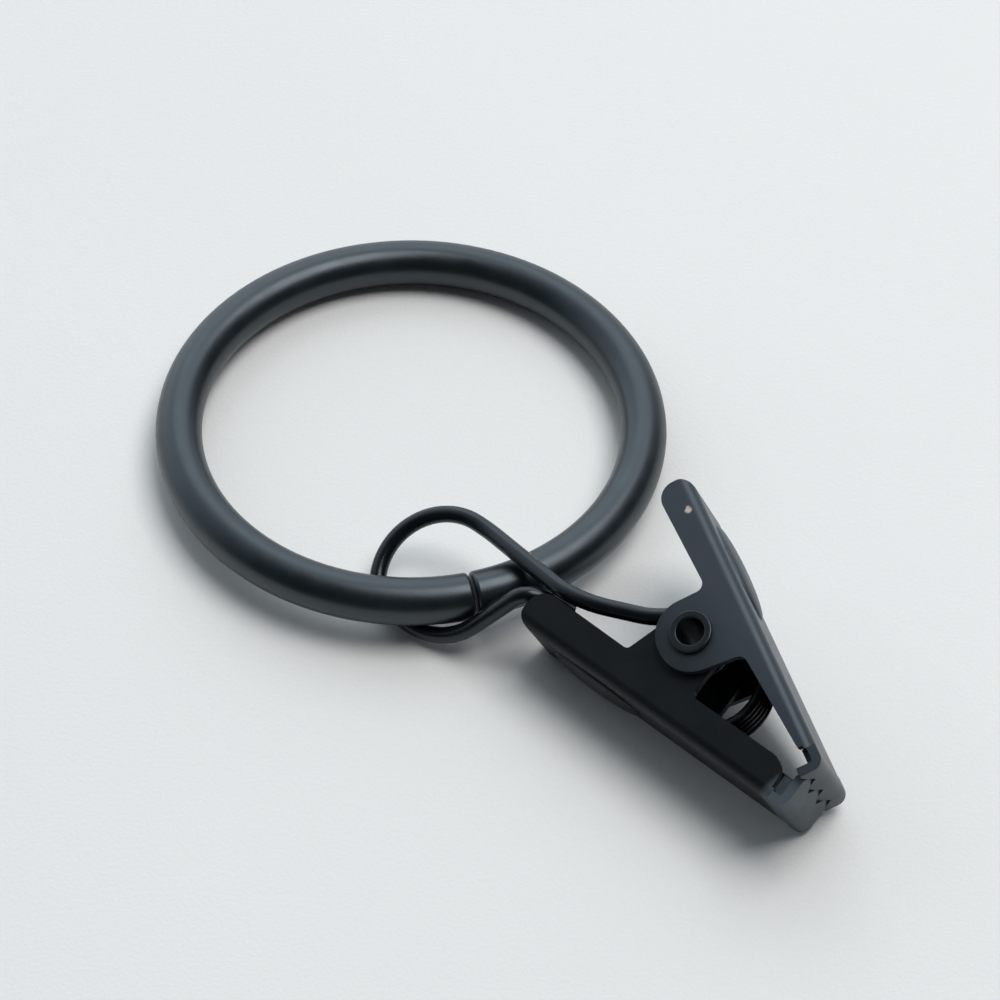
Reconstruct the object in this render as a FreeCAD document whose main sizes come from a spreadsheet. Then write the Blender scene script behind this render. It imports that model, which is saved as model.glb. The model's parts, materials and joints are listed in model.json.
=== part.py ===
import FreeCAD, Part
import math
import os
import Sketcher

# Curtain ring with a clip. A bent round bar makes the ring, with a butt seam.
# A wire runs from an eye on a hollow rivet, round the bar, and back to a free end.
# Two stamped and folded jaws turn on that rivet, held shut by a torsion spring.
# The set lies on a flat surface, with the near side of the ring on the wire.
# Millimetres and degrees. Clip axes: X to the nose, Y to the upper jaw,
# Z along the rivet.

Vec = FreeCAD.Vector
TURN = 360.0
# half pitches of the saw cut, to each side of the nose's middle
SAW_STEPS = 5

SIZES = {
    # ring
    "ring_inner": 38.0,
    "ring_bar": 4.2,
    "ring_seam": 0.25,
    "seam_round": 0.35,
    "seam_bearing": 14.4,
    # wire loop
    "wire": 1.5,
    "wire_gap": 0.15,
    "loop_bearing": 13.0,
    "eye_gap": 0.1,
    "eye_turn": 270.0,
    # sheet metal
    "gauge": 0.8,
    "bend_inside": 0.2,
    "jaw_slope": 14.2,
    "outer_width": 10.4,
    "nest_gap": 0.1,
    "trim_stock": 3.0,
    "relief": 0.3,
    "least_run": 0.03,
    # outer jaw, the upper one as the clip lies
    "outer_height": 5.4,
    "outer_handle": 13.2,
    "outer_end_flange": 3.2,
    "outer_root_flange": 2.75,
    "outer_ear": 3.12,
    "outer_window": 3.75,
    "outer_window_flange": 2.25,
    "outer_tip_flange": 1.45,
    "outer_flange_end": 13.2,
    # inner jaw, the lower one
    "inner_height": 7.5,
    "inner_handle": 14.0,
    "inner_end_flange": 3.5,
    "inner_root_flange": 3.4,
    "inner_ear": 3.0,
    "inner_ear_root": 4.1,
    "inner_ear_crown": 1.75,
    "inner_front": 3.05,
    "inner_jaw_flange": 3.3,
    "inner_flange_end": 13.4,
    # handle ends and notches
    "end_round": 1.3,
    "notch_round": 0.8,
    "flange_round": 0.5,
    # nose and teeth
    "nose_reach": 15.55,
    "bite_line": -0.45,
    "tooth_gap": 0.3,
    "tooth_pitch": 3.2,
    "tooth_depth": 1.2,
    "tooth_flat": 0.5,
    # thumb emboss on each handle
    "emboss_long": 9.5,
    "emboss_wide": 5.2,
    "emboss_rise": 0.65,
    "emboss_inset": 8.0,
    # hollow rivet
    "rivet": 3.0,
    "rivet_bore": 2.4,
    "rivet_fit": 0.05,
    "rim": 3.7,
    "rim_rise": 0.45,
    "rim_gap": 0.05,
    "rim_round": 0.14,
    # torsion spring
    "spring_wire": 0.85,
    "coil_gap": 0.1,
    "coil_pitch": 0.9,
    "arm_reach": 9.0,
    "arm_gap": 0.12,
    # place and turn of the clip beside the ring
    "clip_right": 20.12,
    "clip_near": 8.485,
    "clip_rise": 3.24,
    "clip_yaw": -56.27,
    "clip_pitch": 4.41,
    "clip_roll": 24.72,
}

# Corners of the wire's leg, from the rivet along the clip's axes, rise over the
# eye, and the bend there. All in units of the eye's radius.
LEG_BENDS = ((-1.949, -0.753, 0.0, 3.400), (-4.183, -2.464, 0.396, 4.119))
# Corners of the wire where it goes round the ring bar, from the bar's middle,
# along the clip's axes, and the bend there. All in units of bar to wire distance.
LOOP_BENDS = (
    (-1.174, 1.715, -0.026, 2.893),
    (-4.514, 0.811, -0.133, 1.906),
    (-2.081, -2.091, -0.202, 1.281),
    (0.541, -1.579, -0.435, 2.166),
    (1.490, 1.420, 0.890, 0.642),
)
# The wire's free end beside its leg, in the same units.
LOOP_END = (2.511, 2.121, 0.010)

doc = FreeCAD.newDocument("curtain_ring_with_clip")
sheet = doc.addObject("Spreadsheet::Sheet", "Sizes")
for row, (name, amount) in enumerate(SIZES.items(), 1):
    sheet.set("A%d" % row, name)
    sheet.set("B%d" % row, str(amount))
    sheet.setAlias("B%d" % row, name)
doc.recompute()


class Size:
    """A value together with the sheet expression that drives it."""

    def __init__(self, value, text):
        self.value = value
        self.text = text

    def __add__(self, other):
        other = as_size(other)
        return Size(self.value + other.value, "(%s + %s)" % (self.text, other.text))

    def __sub__(self, other):
        other = as_size(other)
        return Size(self.value - other.value, "(%s - %s)" % (self.text, other.text))

    def __mul__(self, other):
        other = as_size(other)
        return Size(self.value * other.value, "(%s * %s)" % (self.text, other.text))

    def __truediv__(self, other):
        other = as_size(other)
        return Size(self.value / other.value, "(%s / %s)" % (self.text, other.text))

    def __neg__(self):
        return Size(-self.value, "(-1 * %s)" % self.text)


def as_size(item):
    if isinstance(item, Size):
        return item
    return Size(float(item), "(%r)" % float(item))


def size(name):
    return Size(float(sheet.get(name)), "Sizes." + name)


def sine(angle):
    return Size(math.sin(math.radians(angle.value)), "sin(%s * 1 deg)" % angle.text)


def cosine(angle):
    return Size(math.cos(math.radians(angle.value)), "cos(%s * 1 deg)" % angle.text)


def plane(body, role):
    for item in body.Origin.OriginFeatures:
        if item.Role == role:
            return item
    raise RuntimeError("no plane " + role)


def new_sketch(body, name, role, lift=None):
    sketch = body.newObject("Sketcher::SketchObject", name)
    sketch.AttachmentSupport = [(plane(body, role), "")]
    sketch.MapMode = "FlatFace"
    if lift is not None:
        sketch.setExpression("AttachmentOffset.Base.z", lift.text)
    return sketch


def pin(rules, geometry, end, name, across, up):
    """Hold a point at its two bound coordinates; None keeps it on the axis."""
    for axis, kind, amount in ((-2, "DistanceX", across), (-1, "DistanceY", up)):
        if amount is None:
            on_axis = Sketcher.Constraint("PointOnObject", geometry, end, axis)
            rules.append((on_axis, None, None))
        else:
            held = Sketcher.Constraint(kind, geometry, end, amount.value)
            rules.append((held, name + kind[-1], amount))


def apply_rules(sketch, rules):
    """Add all constraints together, then bind the named ones to the sheet."""
    sketch.addConstraint([rule for rule, name, amount in rules])
    for index, (rule, name, amount) in enumerate(rules):
        if name is not None:
            sketch.renameConstraint(index, name)
            sketch.setExpression("Constraints." + name, amount.text)


def corner_arc(before, here, after, radius):
    """Tangent points and middle point of a round corner."""
    to_before = (before - here).normalize()
    to_after = (after - here).normalize()
    half = to_before.getAngle(to_after) / 2
    leg = radius / math.tan(half)
    inward = (to_before + to_after).normalize()
    middle = here + inward * (radius / math.sin(half) - radius)
    return here + to_before * leg, middle, here + to_after * leg


def outline(body, name, role, corners, lift=None):
    """Closed sketch from corners (across, up, radius or None), each one bound."""
    sketch = new_sketch(body, name, role, lift)
    count = len(corners)
    points = []
    for across, up, radius in corners:
        points.append(Vec(across.value if across else 0, up.value if up else 0, 0))
    arrive = []
    leave = []
    arcs = []
    for i in range(count):
        radius = corners[i][2]
        if radius is None:
            arrive.append(points[i])
            leave.append(points[i])
            arcs.append(None)
            continue
        following = points[(i + 1) % count]
        first, middle, last = corner_arc(points[i - 1], points[i], following, radius.value)
        arrive.append(first)
        leave.append(last)
        arcs.append(Part.Arc(first, middle, last))
    lines = []
    for i in range(count):
        side = Part.LineSegment(leave[i], arrive[(i + 1) % count])
        lines.append(sketch.addGeometry(side))
    rules = []
    for i, (across, up, radius) in enumerate(corners):
        label = "corner%d" % i
        if radius is None:
            met = Sketcher.Constraint("Coincident", lines[i - 1], 2, lines[i], 1)
            rules.append((met, None, None))
            pin(rules, lines[i], 1, label, across, up)
            continue
        arc = sketch.addGeometry(arcs[i])
        starts_here = sketch.getPoint(arc, 1).distanceToPoint(arrive[i]) < 1e-6
        near = 1 if starts_here else 2
        mark = sketch.addGeometry(Part.Point(points[i]), True)
        round_off = Sketcher.Constraint("Radius", arc, radius.value)
        rules += [
            (Sketcher.Constraint("Tangent", lines[i - 1], 2, arc, near), None, None),
            (Sketcher.Constraint("Tangent", arc, 3 - near, lines[i], 1), None, None),
            (Sketcher.Constraint("PointOnObject", mark, 1, lines[i - 1]), None, None),
            (Sketcher.Constraint("PointOnObject", mark, 1, lines[i]), None, None),
            (round_off, label + "R", radius),
        ]
        pin(rules, mark, 1, label, across, up)
    apply_rules(sketch, rules)
    return sketch


def circle(body, name, role, across, radius):
    sketch = new_sketch(body, name, role)
    centre = Vec(across.value if across else 0, 0, 0)
    ring = sketch.addGeometry(Part.Circle(centre, Vec(0, 0, 1), radius.value))
    rules = [(Sketcher.Constraint("Radius", ring, radius.value), "radius", radius)]
    pin(rules, ring, 3, "centre", across, None)
    apply_rules(sketch, rules)
    return sketch


def extrude(body, kind, name, sketch, length=None, symmetric=False, reverse=False):
    item = body.newObject("PartDesign::" + kind, name)
    item.Profile = sketch
    item.Reversed = reverse
    if symmetric:
        item.SideType = "Symmetric"
    if length is None:
        item.Type = "ThroughAll"
    else:
        item.setExpression("Length", length.text)
    return item


def revolve(body, name, sketch, angle=None):
    item = body.newObject("PartDesign::Revolution", name)
    item.Profile = sketch
    item.ReferenceAxis = (sketch, ["V_Axis"])
    item.Angle = TURN
    if angle is not None:
        item.setExpression("Angle", angle.text)
    return item


def ellipsoid(body, kind, name, along, height, long, wide, rise):
    item = body.newObject("PartDesign::%sEllipsoid" % kind, name)
    item.AttachmentSupport = [(plane(body, "XY_Plane"), "")]
    item.MapMode = "FlatFace"
    item.setExpression("AttachmentOffset.Base.x", along.text)
    item.setExpression("AttachmentOffset.Base.z", height.text)
    item.setExpression("Radius1", rise.text)
    item.setExpression("Radius2", (long / 2).text)
    item.setExpression("Radius3", (wide / 2).text)
    return item


def must_shrink(before, after):
    doc.recompute()
    if after.Shape.Volume > before.Shape.Volume - 1e-3:
        raise RuntimeError(after.Name + " cut nothing")


gauge = size("gauge")
bend_inside = size("bend_inside")
bend_outside = bend_inside + gauge
stock = size("trim_stock")
relief = size("relief")
slope = size("jaw_slope")
outer_width = size("outer_width")
inner_width = outer_width - (gauge + size("nest_gap")) * 2
hole = size("rivet") / 2 + size("rivet_fit")


def jaw(label, width, height, handle, trim, flange_end, nose, bite, first_tip):
    """One stamped jaw: X to the nose, Y along the rivet, Z out of its plate."""
    body = doc.addObject("PartDesign::Body", label)
    body.Label = label
    half = width / 2
    inner = half - gauge
    # channel of plate and two cheeks
    low = -stock - stock
    channel = outline(body, label + "_channel", "YZ_Plane", [
        (-half, low, None),
        (-half, height, bend_outside),
        (half, height, bend_outside),
        (half, low, None),
        (inner, low, None),
        (inner, height - gauge, bend_inside),
        (-inner, height - gauge, bend_inside),
        (-inner, low, None),
    ], -handle)
    folded = extrude(body, "Pad", label + "_fold", channel, handle + flange_end + relief)
    # side view of handle, ear, window and jaw cheek
    blank = outline(body, label + "_side", "XZ_Plane", trim)
    sides = extrude(body, "Pocket", label + "_trim", blank, symmetric=True)
    must_shrink(folded, sides)
    # plate runs on into the nose, which is folded inward
    start = flange_end + relief
    face = nose + gauge / 2
    tip = height - bite - size("tooth_depth") / 2
    fold = outline(body, label + "_nose_fold", "XZ_Plane", [
        (start, height, None),
        (face, height, bend_outside),
        (face, tip, None),
        (face - gauge, tip, None),
        (face - gauge, height - gauge, bend_inside),
        (start, height - gauge, None),
    ])
    extrude(body, "Pad", label + "_nose", fold, width, symmetric=True)
    doc.recompute()
    # short returns at both ends of the nose wall, tucked in between the cheeks
    valley = tip + size("tooth_depth")
    tuck = inner - size("nest_gap") - gauge / 2
    for name, place in (("_near_return", tuck), ("_far_return", -tuck)):
        flap = outline(body, label + name + "_side", "XZ_Plane", [
            (flange_end, valley, None),
            (flange_end, height - gauge / 2, None),
            (face - gauge / 2, height - gauge / 2, None),
            (face - gauge / 2, valley, None),
        ], place)
        wall = extrude(body, "Pad", label + name, flap, gauge, symmetric=True)
        doc.recompute()
    # teeth with blunt tips, between sharp valleys
    step = size("tooth_pitch") / 2
    flat = size("tooth_flat") / 2
    blunt = tip + size("tooth_depth") * flat / step
    zigzag = []
    for k in range(-SAW_STEPS, SAW_STEPS + 1):
        across = step * k if k else as_size(0)
        if (k + first_tip) % 2:
            zigzag.append((across if k else None, valley, None))
        else:
            zigzag.append((across - flat, blunt, None))
            zigzag.append((across + flat, blunt, None))
    zigzag.append((step * (SAW_STEPS + 1), tip - stock, None))
    zigzag.append((step * -(SAW_STEPS + 1), tip - stock, None))
    saw = outline(body, label + "_saw", "YZ_Plane", zigzag, face - gauge - relief)
    depth = gauge + relief * 2
    teeth = extrude(body, "Pocket", label + "_teeth", saw, depth, reverse=True)
    must_shrink(wall, teeth)
    # rivet holes through both ears
    round_hole = circle(body, label + "_hole", "XZ_Plane", None, hole)
    ears = extrude(body, "Pocket", label + "_bore", round_hole, symmetric=True)
    must_shrink(teeth, ears)
    # pressed oval on the handle, raised outside and hollow inside
    along = size("emboss_inset") - handle
    long = size("emboss_long")
    wide = size("emboss_wide")
    rise = size("emboss_rise")
    ellipsoid(body, "Additive", label + "_emboss", along, height, long, wide, rise)
    doc.recompute()
    raised = body.Tip
    hollow = ellipsoid(body, "Subtractive", label + "_hollow", along, height - gauge,
                       long - gauge * 2, wide - gauge * 2, rise)
    must_shrink(raised, hollow)
    return body


def trim_frame(height, handle, end_flange, edge, flange_end):
    """Waste round the side view: handle end, then the given edge, then the nose."""
    end_round = size("end_round")
    foot = end_flange / 2 - size("least_run")
    left = -handle - stock
    low = -stock * 3
    right = flange_end + stock
    lid = height - gauge - bend_inside
    inset = end_round + size("least_run") - handle
    return [
        (inset, height + stock, None),
        (inset, height, None),
        (-handle, height, end_round),
        (-handle, height - end_flange, foot),
    ] + edge + [
        (flange_end, lid, None),
        (right, lid, None),
        (right, low, None),
        (left, low, None),
        (left, height + stock, None),
    ]


bite_half = size("tooth_gap") / 2
reach = size("nose_reach")
up_bite = size("bite_line") + bite_half
down_bite = -(size("bite_line") - bite_half)

# outer jaw
o_height = size("outer_height")
o_handle = size("outer_handle")
o_end = size("outer_flange_end")
o_ear = size("outer_ear")
o_edge = [
    (-o_ear, o_height - size("outer_root_flange"), size("notch_round")),
    (-o_ear, -o_ear, o_ear - size("least_run")),
    (o_ear, -o_ear, o_ear - size("least_run")),
    (size("outer_window"), o_height - size("outer_window_flange"), size("notch_round")),
    (o_end, o_height - size("outer_tip_flange"), size("flange_round") / 2),
]
o_trim = trim_frame(o_height, o_handle, size("outer_end_flange"), o_edge, o_end)
outer_jaw = jaw("outer_jaw", outer_width, o_height, o_handle, o_trim, o_end,
                reach * cosine(slope) - up_bite * sine(slope),
                o_height - reach * sine(slope) - up_bite * cosine(slope), 1)

# inner jaw, whose cheeks nest between those of the outer jaw
i_height = size("inner_height")
i_handle = size("inner_handle")
i_end = size("inner_flange_end")
i_ear = size("inner_ear")
i_crown = size("inner_ear_crown")
i_low = i_height - size("inner_jaw_flange")
i_edge = [
    (-size("inner_ear_root"), i_height - size("inner_root_flange"), size("flange_round")),
    (-i_crown, -i_ear, i_crown - relief),
    (size("inner_front"), -i_ear, i_ear - relief),
    (size("inner_front"), i_low, size("flange_round")),
    (i_end, i_low, size("inner_jaw_flange") / 2),
]
i_trim = trim_frame(i_height, i_handle, size("inner_end_flange"), i_edge, i_end)
inner_jaw = jaw("inner_jaw", inner_width, i_height, i_handle, i_trim, i_end,
                reach * cosine(slope) - down_bite * sine(slope),
                i_height - reach * sine(slope) - down_bite * cosine(slope), 0)

# ring: round bar bent to a circle, its rounded ends butted at the seam
bar = size("ring_bar")
ring_mean = (size("ring_inner") + bar) / 2
ring = doc.addObject("PartDesign::Body", "ring")
ring.Label = "ring"
bar_section = circle(ring, "bar_section", "XZ_Plane", ring_mean, bar / 2)
seam_turn = size("ring_seam") / ring_mean * (TURN / 2 / math.pi)
bent_bar = revolve(ring, "bent_bar", bar_section, as_size(TURN) - seam_turn)
doc.recompute()
bar_ends = []
for index, edge in enumerate(bent_bar.Shape.Edges, 1):
    if isinstance(edge.Curve, Part.Circle) and abs(edge.Curve.Radius - bar.value / 2) < 1e-6:
        bar_ends.append("Edge%d" % index)
bar_round = ring.newObject("PartDesign::Fillet", "bar_round")
bar_round.Base = (bent_bar, bar_ends)
bar_round.setExpression("Radius", "Sizes.seam_round")

# hollow rivet with a rolled rim at each end
rivet = doc.addObject("PartDesign::Body", "rivet")
rivet.Label = "rivet"
shank = size("rivet") / 2
bore = size("rivet_bore") / 2
rim = size("rim") / 2
seat = outer_width / 2 + size("rim_gap")
end = seat + size("rim_rise")
rolled = size("rim_round")
rivet_half = outline(rivet, "rivet_half", "XZ_Plane", [
    (bore, -end, rolled),
    (rim, -end, rolled),
    (rim, -seat, rolled),
    (shank, -seat, None),
    (shank, seat, None),
    (rim, seat, rolled),
    (rim, end, rolled),
    (bore, end, rolled),
])
revolve(rivet, "rivet_turned", rivet_half)
doc.recompute()


def number(name):
    return float(sheet.get(name))


def swept(label, edges, thick):
    """Round wire along a path of tangent edges."""
    path = Part.Wire(Part.__sortEdges__(edges))
    first = path.OrderedEdges[0]
    at = first.firstVertex(True).Point
    run = first.tangentAt(first.FirstParameter)
    section = Part.Wire([Part.Circle(at, run, thick / 2).toShape()])
    item = doc.addObject("Part::Feature", label)
    item.Label = label
    item.Shape = path.makePipeShell([section], True, False)
    return item


def rounded_path(points, radii):
    """Straight runs joined by tangent arcs; radii are for the inner points."""
    edges = []
    at = points[0]
    for before, here, after, radius in zip(points, points[1:], points[2:], radii):
        first, middle, last = corner_arc(before, here, after, radius)
        edges.append(Part.LineSegment(at, first).toShape())
        edges.append(Part.Arc(first, middle, last).toShape())
        at = last
    edges.append(Part.LineSegment(at, points[-1]).toShape())
    return edges


def on_circle(radius, angle, height):
    return Vec(radius * math.cos(angle), radius * math.sin(angle), height)


def touch_angle(point, radius, side):
    """Angle of the point where a line from the given point touches the circle."""
    away = math.hypot(point.x, point.y)
    return math.atan2(point.y, point.x) - side * math.acos(radius / away)


# Where things lie: the far side of the ring rests on the surface and the near side
# rests on the wire, which tilts it.
bar_radius = number("ring_bar") / 2
mean_radius = ring_mean.value
wire = number("wire")
wire_gap = number("wire_gap")
tilt = math.degrees(math.asin((wire + 2 * wire_gap) / (2 * mean_radius)))
ring_middle = Vec(0, 0, bar_radius + mean_radius * math.sin(math.radians(tilt)))
ring_turn = FreeCAD.Rotation(Vec(1, 0, 0), -tilt)
quarter = TURN / 4


def bar_point(bearing):
    """Middle of the bar at a bearing to the right of the ring's nearest point."""
    angle = math.radians(bearing - quarter)
    return ring_middle + ring_turn.multVec(on_circle(mean_radius, angle, 0))


hang = bar_point(number("loop_bearing"))
pivot = hang + Vec(number("clip_right"), -number("clip_near"), number("clip_rise"))
clip_turn = FreeCAD.Rotation(number("clip_yaw"), number("clip_pitch"), number("clip_roll"))
clip = FreeCAD.Placement(pivot, clip_turn)

# wire loop, in the clip's axes
eye = shank.value + number("eye_gap") + wire / 2
cheek = inner_width.value / 2 - gauge.value
eye_height = cheek - number("coil_gap") - wire / 2
grip = bar_radius + wire / 2 + wire_gap
bar_middle = clip.inverse().multVec(hang)
bends = [(Vec(x, y, z) * eye + Vec(0, 0, eye_height), bend * eye) for x, y, z, bend in LEG_BENDS]
for x, y, z, bend in LOOP_BENDS:
    bends.append((bar_middle + Vec(x, y, z) * grip, bend * grip))
touch = touch_angle(bends[0][0], eye, 1)
route = [on_circle(eye, touch, eye_height)]
route += [point for point, bend in bends]
route.append(bar_middle + Vec(*LOOP_END) * grip)
loop_edges = rounded_path(route, [bend for point, bend in bends])
eye_turn = math.radians(number("eye_turn"))
stops = [on_circle(eye, touch - eye_turn * part, eye_height) for part in (0, 0.5, 1)]
loop_edges.append(Part.Arc(*stops).toShape())
wire_loop = swept("wire_loop", loop_edges, wire)

# torsion spring, in the clip's axes: its arms lie along the plates of the two jaws,
# and its coil fills the room between the plates where it hangs on the rivet, nose side
spring_wire = number("spring_wire")
slope_turn = math.radians(number("jaw_slope"))
upper_room = number("outer_height") - gauge.value - number("arm_gap")
lower_room = number("inner_height") - gauge.value - number("arm_gap")
hung = spring_wire + shank.value + number("coil_gap")
coil_up = (upper_room - lower_room) / 2 / math.cos(slope_turn)
# coil_outer solves (room - coil_outer)^2 / closing^2 + coil_up^2 = (coil_outer - hung)^2,
# where room is both rooms together, halved, and closing is the sine of the slope
room = (upper_room + lower_room) / 2
closing = math.sin(slope_turn)
square = 1 / closing ** 2 - 1
line = room / closing ** 2 - hung
rest = (room / closing) ** 2 + coil_up ** 2 - hung ** 2
coil_outer = (line - math.sqrt(line ** 2 - square * rest)) / square
coil_middle = Vec((room - coil_outer) / closing, coil_up, 0)
coil = coil_outer - spring_wire / 2
coil_top = eye_height - wire / 2 - number("coil_gap") - spring_wire / 2
coil_foot = -cheek + number("coil_gap") + spring_wire / 2
arm_reach = number("arm_reach")


def arm_end(room, side):
    """Where an arm bears on a handle, from the coil's middle; side is 1 for upper."""
    rise = room - spring_wire / 2
    across = -arm_reach * math.cos(slope_turn) + rise * math.sin(slope_turn)
    up = arm_reach * math.sin(slope_turn) + rise * math.cos(slope_turn)
    return Vec(across, side * up, 0) - coil_middle


upper_arm = arm_end(upper_room, 1)
lower_arm = arm_end(lower_room, -1)
start_angle = touch_angle(upper_arm, coil, 1)
end_angle = touch_angle(lower_arm, coil, -1)
part_turn = (start_angle - end_angle) % math.radians(TURN)
whole = int((coil_top - coil_foot) / number("coil_pitch"))
turns = whole + part_turn / math.radians(TURN)
if turns * number("coil_pitch") > coil_top - coil_foot:
    turns -= 1
coil_rise = turns * number("coil_pitch")
helix = Part.makeLongHelix(number("coil_pitch"), coil_rise, coil, 0, False)
helix.rotate(Vec(0, 0, 0), Vec(0, 0, 1), math.degrees(end_angle))
helix.translate(coil_middle + Vec(0, 0, coil_foot))
ends = sorted([vertex.Point for vertex in helix.Vertexes], key=lambda point: point.z)
low_tip = coil_middle + lower_arm + Vec(0, 0, ends[0].z)
high_tip = coil_middle + upper_arm + Vec(0, 0, ends[-1].z)
spring_edges = [Part.LineSegment(low_tip, ends[0]).toShape()]
spring_edges += helix.Edges
spring_edges.append(Part.LineSegment(ends[-1], high_tip).toShape())
spring = swept("spring", spring_edges, spring_wire)

# placements
upright = FreeCAD.Rotation(Vec(1, 0, 0), quarter)
axis = Vec(0, 0, 1)
lean = number("jaw_slope")
seam = number("seam_bearing") - quarter + seam_turn.value / 2
outer_place = clip.multiply(FreeCAD.Placement(
    Vec(), FreeCAD.Rotation(axis, -lean).multiply(upright.inverted())))
inner_place = clip.multiply(FreeCAD.Placement(
    Vec(), FreeCAD.Rotation(axis, lean).multiply(upright)))
ring_place = FreeCAD.Placement(ring_middle, ring_turn.multiply(FreeCAD.Rotation(axis, seam)))
nodes = (
    (ring, ring_place),
    (wire_loop, clip),
    (outer_jaw, outer_place),
    (inner_jaw, inner_place),
    (rivet, clip),
    (spring, clip),
)
for node, place in nodes:
    node.Placement = place
doc.recompute()

# the frame's origin is under the middle of the whole set, on the surface
box = FreeCAD.BoundBox()
for node, place in nodes:
    box.add(node.Shape.optimalBoundingBox(False, False))
shift = Vec(-box.Center.x, -box.Center.y, -box.ZMin)
for node, place in nodes:
    node.Placement = FreeCAD.Placement(place.Base + shift, place.Rotation)
doc.recompute()

for item in doc.Objects:
    if "Invalid" in item.State or "Error" in item.State:
        raise RuntimeError("failed: " + item.Name)
for node, place in nodes:
    if node.Shape.isNull() or not node.Shape.isValid() or len(node.Shape.Solids) != 1:
        raise RuntimeError("bad solid: " + node.Label)

os.makedirs("parts", exist_ok=True)
for node, place in nodes:
    node.Shape.exportStep("parts/%s.step" % node.Label)
    print("%s %.2f mm3" % (node.Label, node.Shape.Volume))
print("ring middle", ring_middle + shift, "axis", ring_turn.multVec(axis))
print("pivot", pivot + shift, "axis", clip_turn.multVec(axis))
print("clip X", clip_turn.multVec(Vec(1, 0, 0)), "clip Y", clip_turn.multVec(Vec(0, 1, 0)))
print("box", box.XLength, box.YLength, box.ZLength, "shift", shift)
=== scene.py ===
import json
import math

import bpy
from mathutils import Matrix, Vector


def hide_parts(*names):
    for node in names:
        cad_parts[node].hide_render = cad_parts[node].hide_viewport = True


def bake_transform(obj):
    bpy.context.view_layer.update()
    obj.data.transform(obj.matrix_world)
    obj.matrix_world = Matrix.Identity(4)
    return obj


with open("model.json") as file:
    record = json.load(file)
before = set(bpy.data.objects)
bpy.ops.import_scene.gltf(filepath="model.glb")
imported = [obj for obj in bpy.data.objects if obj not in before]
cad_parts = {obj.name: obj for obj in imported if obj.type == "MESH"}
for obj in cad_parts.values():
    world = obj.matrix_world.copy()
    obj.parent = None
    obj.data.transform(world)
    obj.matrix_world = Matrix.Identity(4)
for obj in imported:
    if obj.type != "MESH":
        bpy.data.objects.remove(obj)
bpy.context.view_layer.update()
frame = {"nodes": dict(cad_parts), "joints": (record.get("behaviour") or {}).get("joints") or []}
nodes = frame["nodes"]
joints = {joint["name"]: joint for joint in frame["joints"]}
MM = 0.001

# The clip's pivot and axes in the row frame. NOSE runs from the pivot to the tip of
# the closed jaws, and RISE from the lower jaw to the upper one.
PIVOT = Vector(joints["jaw_open"]["pos_m"])
AXIS = Vector(joints["jaw_open"]["axis"]).normalized()
NOSE = Vector((0.553636, -0.829201, -0.076893)).normalized()
RISE = AXIS.cross(NOSE).normalized()

# The ring's middle, about which the loop runs round the bar.
RING_MIDDLE = Vector(joints["loop_run"]["pos_m"])


def clip_point(nose, rise, along):
    """Row-frame point from distances along the clip's axes in millimetres."""
    return PIVOT + (NOSE * nose + RISE * rise + AXIS * along) * MM


# Materials. Colours are linear, lengths are in metres and noise scales per metre.

DUST_COLOUR = (0.10, 0.105, 0.11)
GLOSS_TINT = (0.80, 0.92, 1.0, 1.0)


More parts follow.
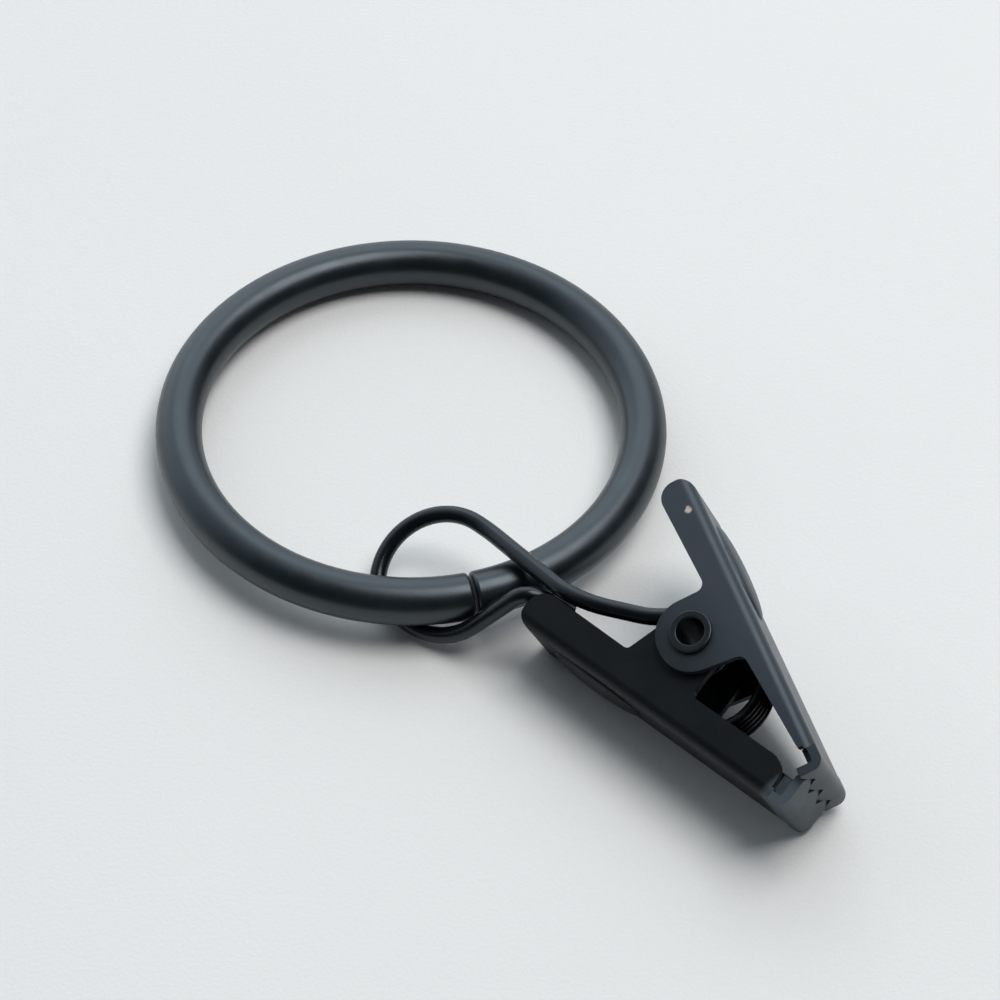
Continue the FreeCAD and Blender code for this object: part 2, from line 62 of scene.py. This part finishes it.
class Nodes:
    """Small helper to build a material's node tree."""

    def __init__(self, name):
        self.material = bpy.data.materials.new(name)
        self.material.use_nodes = True
        self.tree = self.material.node_tree
        self.shader = self.tree.nodes["Principled BSDF"]
        self.coords = self.add("ShaderNodeTexCoord").outputs["Object"]

    def add(self, kind, **values):
        node = self.tree.nodes.new(kind)
        for key, value in values.items():
            setattr(node, key, value)
        return node

    def link(self, source, target):
        self.tree.links.new(source, target)

    def noise(self, scale, detail=4.0, roughness=0.55):
        node = self.add("ShaderNodeTexNoise")
        node.inputs["Scale"].default_value = scale
        node.inputs["Detail"].default_value = detail
        node.inputs["Roughness"].default_value = roughness
        self.link(self.coords, node.inputs["Vector"])
        return node.outputs["Fac"]

    def spread(self, source, given, wanted):
        """Map the given range to the wanted one, and clamp it there."""
        node = self.add("ShaderNodeMapRange")
        node.inputs["From Min"].default_value = given[0]
        node.inputs["From Max"].default_value = given[1]
        node.inputs["To Min"].default_value = wanted[0]
        node.inputs["To Max"].default_value = wanted[1]
        self.link(source, node.inputs["Value"])
        return node.outputs["Result"]

    def mix(self, factor, first, second):
        """Blend of two colours, each a tuple or a socket."""
        node = self.add("ShaderNodeMix", data_type="RGBA")
        self.link(factor, node.inputs["Factor"])
        colour_sockets = node.inputs[6], node.inputs[7]
        for socket, value in zip(colour_sockets, (first, second)):
            if isinstance(value, tuple):
                socket.default_value = (*value, 1.0)
            else:
                self.link(value, socket)
        return node.outputs[2]

    def spot(self, centre, radius, soft):
        """1 inside a small ball about a point, 0 outside."""
        away = self.add("ShaderNodeVectorMath", operation="DISTANCE")
        away.inputs[1].default_value = centre
        self.link(self.coords, away.inputs[0])
        return self.spread(away.outputs["Value"], (radius + soft, radius), (0.0, 1.0))

    def beyond(self, place, run, soft):
        """1 past a plane through the place and across the run, 0 before it."""
        away = self.add("ShaderNodeVectorMath", operation="SUBTRACT")
        away.inputs[1].default_value = place
        self.link(self.coords, away.inputs[0])
        along = self.add("ShaderNodeVectorMath", operation="DOT_PRODUCT")
        along.inputs[1].default_value = run
        self.link(away.outputs["Vector"], along.inputs[0])
        return self.spread(along.outputs["Value"], (0.0, soft), (0.0, 1.0))

    def times(self, first, second):
        node = self.add("ShaderNodeMath", operation="MULTIPLY")
        self.link(first, node.inputs[0])
        self.link(second, node.inputs[1])
        return node.outputs[0]

    def bump(self, height, strength, distance):
        node = self.add("ShaderNodeBump")
        node.inputs["Strength"].default_value = strength
        node.inputs["Distance"].default_value = distance
        self.link(height, node.inputs["Height"])
        self.link(node.outputs["Normal"], self.shader.inputs["Normal"])


def black_coat(name, dark, light, roughness, specular=0.5, painted_light=None, marks=()):
    """Satin black coating: fine orange peel, uneven sheen, faint dust, small marks.

    The paler grade is painted light: a place, the direction in which the coat past it is paler,
    how softly that starts, and the colour there. A mark is a middle, a radius and a colour.
    """
    n = Nodes(name)
    mottle = n.spread(n.noise(scale=180.0, detail=5.0), (0.35, 0.65), (0.0, 1.0))
    colour = n.mix(mottle, dark, light)
    specks = n.noise(scale=5200.0, detail=2.0, roughness=0.7)
    colour = n.mix(n.spread(specks, (0.70, 0.80), (0.0, 0.25)), colour, DUST_COLOUR)
    # Past the plane the coat is painted paler, as painted light and shade.
    if painted_light is not None:
        place, run, soft, paint = painted_light
        colour = n.mix(n.beyond(place, run, soft), colour, paint)
    for centre, radius, paint in marks:
        ragged = n.spread(n.noise(scale=2600.0, detail=3.0), (0.40, 0.55), (0.0, 1.0))
        mark = n.times(n.spot(centre, radius * 0.55, radius * 0.45), ragged)
        colour = n.mix(mark, colour, paint)
    n.link(colour, n.shader.inputs["Base Color"])
    sheen = n.spread(n.noise(scale=420.0), (0.3, 0.7), roughness)
    n.link(sheen, n.shader.inputs["Roughness"])
    n.shader.inputs["Specular IOR Level"].default_value = specular
    n.shader.inputs["Specular Tint"].default_value = GLOSS_TINT
    n.bump(n.noise(scale=4200.0, detail=3.0), strength=0.20, distance=0.04 * MM)
    return n.material


def spring_steel(name):
    """Dark drawn steel with an uneven sheen."""
    n = Nodes(name)
    streak = n.spread(n.noise(scale=900.0), (0.35, 0.65), (0.0, 1.0))
    colour = n.mix(streak, (0.03, 0.03, 0.032), (0.07, 0.07, 0.075))
    n.link(colour, n.shader.inputs["Base Color"])
    n.shader.inputs["Metallic"].default_value = 1.0
    sheen = n.spread(n.noise(scale=700.0), (0.3, 0.7), (0.30, 0.45))
    n.link(sheen, n.shader.inputs["Roughness"])
    n.bump(n.noise(scale=3000.0), strength=0.1, distance=0.03 * MM)
    return n.material


def paper(name):
    """Pale matt surface with a fine grain."""
    n = Nodes(name)
    cloud = n.spread(n.noise(scale=14.0, detail=6.0), (0.3, 0.7), (0.0, 1.0))
    colour = n.mix(cloud, (0.865, 0.860, 0.838), (0.885, 0.880, 0.858))
    n.link(colour, n.shader.inputs["Base Color"])
    n.shader.inputs["Roughness"].default_value = 0.9
    grain = n.noise(scale=2800.0, detail=3.0, roughness=0.6)
    n.bump(grain, strength=0.35, distance=0.12 * MM)
    return n.material


# A pale chip near the end of the upper handle. Painted light and shade: the upper jaw is
# painted paler from its shaded ears to its lit handle, and the lower jaw at its lit nose.
CHIP = (clip_point(-8.92, 6.48, 5.2), 0.4 * MM, (0.62, 0.53, 0.42))
PAINTED_LIGHT_HANDLE = (clip_point(0.0, -4.0, 0.0), RISE, 8.0 * MM, (0.044, 0.053, 0.066))
PAINTED_LIGHT_NOSE = (clip_point(14.0, 0.0, 0.0), NOSE, 0.6 * MM, (0.066, 0.083, 0.094))

finishes = {
    "ring": black_coat("ring_coat", dark=(0.003, 0.005, 0.007), light=(0.006, 0.009, 0.012),
                       roughness=(0.31, 0.40), specular=0.8),
    # Upper jaw: the paler handle is painted light, and the chip is a mark in the coat.
    "outer_jaw": black_coat("upper_coat_painted_light", dark=(0.005, 0.007, 0.009), light=(0.009, 0.011, 0.014),
                            roughness=(0.36, 0.44), specular=0.4, painted_light=PAINTED_LIGHT_HANDLE,
                            marks=[CHIP]),
    # Lower jaw: its coat is a darker, duller copy of the upper coat, as painted shade, and its
    # paler nose is painted light.
    "inner_jaw": black_coat("lower_coat_painted_shade", dark=(0.002, 0.0025, 0.003),
                            light=(0.004, 0.0045, 0.005), roughness=(0.40, 0.50),
                            specular=0.25, painted_light=PAINTED_LIGHT_NOSE),
    "wire_loop": black_coat("wire_coat", dark=(0.002, 0.003, 0.004), light=(0.005, 0.006, 0.008),
                            roughness=(0.22, 0.30)),
    "rivet": black_coat("rivet_coat", dark=(0.003, 0.004, 0.005), light=(0.007, 0.008, 0.010),
                        roughness=(0.28, 0.38)),
    "spring": spring_steel("spring_coat"),
}
for name, material in finishes.items():
    mesh = nodes[name].data
    mesh.materials.clear()
    mesh.materials.append(material)


# Edges of the sheet metal are slightly broken, so that they catch the light.
EDGE_WIDTH = 0.12 * MM
EDGE_ANGLE = math.radians(40)
for name in ("outer_jaw", "inner_jaw"):
    edge = nodes[name].modifiers.new("broken_edge", "BEVEL")
    edge.width = EDGE_WIDTH
    edge.segments = 2
    edge.limit_method = "ANGLE"
    edge.angle_limit = EDGE_ANGLE
    edge.harden_normals = True

# The spring is copied into an object of its own, and the imported one is hidden.
spring = bpy.data.objects.new("spring_coil", nodes["spring"].data.copy())
bpy.context.scene.collection.objects.link(spring)
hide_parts("spring")
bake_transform(spring)


# Floor

FLOOR_SIZE = 3.0
bpy.ops.mesh.primitive_plane_add(size=FLOOR_SIZE, location=(0, 0, 0))
floor = bpy.context.object
floor.name = "floor"
floor.data.materials.append(paper("floor_paper"))


# Light. The room is bright behind the object, to the left, and dim elsewhere.

ROOM_COLOUR = (0.82, 0.92, 1.0, 1.0)
BRIGHT_SIDE = (-0.40, 0.92, 0.0)
BRIGHT_FROM, BRIGHT_TO = 0.1, 1.0
DIM_STRENGTH, BRIGHT_STRENGTH = 0.06, 1.55

world = bpy.context.scene.world or bpy.data.worlds.new("world")
bpy.context.scene.world = world
world.use_nodes = True
room = world.node_tree
sky = room.nodes["Background"]
sky.inputs["Color"].default_value = ROOM_COLOUR
direction = room.nodes.new("ShaderNodeTexCoord")
towards = room.nodes.new("ShaderNodeVectorMath")
towards.operation = "DOT_PRODUCT"
towards.inputs[1].default_value = BRIGHT_SIDE
strength = room.nodes.new("ShaderNodeMapRange")
strength.inputs["From Min"].default_value = BRIGHT_FROM
strength.inputs["From Max"].default_value = BRIGHT_TO
strength.inputs["To Min"].default_value = DIM_STRENGTH
strength.inputs["To Max"].default_value = BRIGHT_STRENGTH
room.links.new(direction.outputs["Generated"], towards.inputs[0])
room.links.new(towards.outputs["Value"], strength.inputs["Value"])
room.links.new(strength.outputs["Result"], sky.inputs["Strength"])


def softbox(name, place, width, height, power, colour):
    """Rectangular lamp that faces the origin, in metres and watts."""
    data = bpy.data.lights.new(name, "AREA")
    data.shape = "RECTANGLE"
    data.size = width
    data.size_y = height
    data.energy = power
    data.color = colour
    lamp = bpy.data.objects.new(name, data)
    bpy.context.scene.collection.objects.link(lamp)
    lamp.location = place
    lamp.rotation_euler = (-Vector(place)).to_track_quat("-Z", "Y").to_euler()


softbox("key", place=(0.28, 0.11, 0.90), width=0.60, height=0.60, power=5.75,
        colour=(0.99, 0.99, 1.0))
softbox("back", place=(0.10, 0.65, 0.62), width=0.90, height=0.45, power=1.3,
        colour=(0.88, 0.95, 1.0))


# Camera at the photo's viewing angle

LENS = 118.69
SENSOR_WIDTH = 36.0
EYE = RING_MIDDLE + Vector((0.0, -195.849, 227.251)) * MM
AIM = RING_MIDDLE + Vector((7.991, -6.496, -3.000)) * MM
ROLL = math.radians(1.8485)

camera_data = bpy.data.cameras.new("camera")
camera_data.lens = LENS
camera_data.sensor_width = SENSOR_WIDTH
camera_data.clip_start = 10.0 * MM
camera = bpy.data.objects.new("camera", camera_data)
bpy.context.scene.collection.objects.link(camera)
turn = (AIM - EYE).to_track_quat("-Z", "Y").to_matrix().to_4x4()
turn = turn @ Matrix.Rotation(ROLL, 4, "Z")
camera.matrix_world = Matrix.Translation(EYE) @ turn
bpy.context.scene.camera = camera
bpy.context.scene.view_settings.view_transform = "Standard"
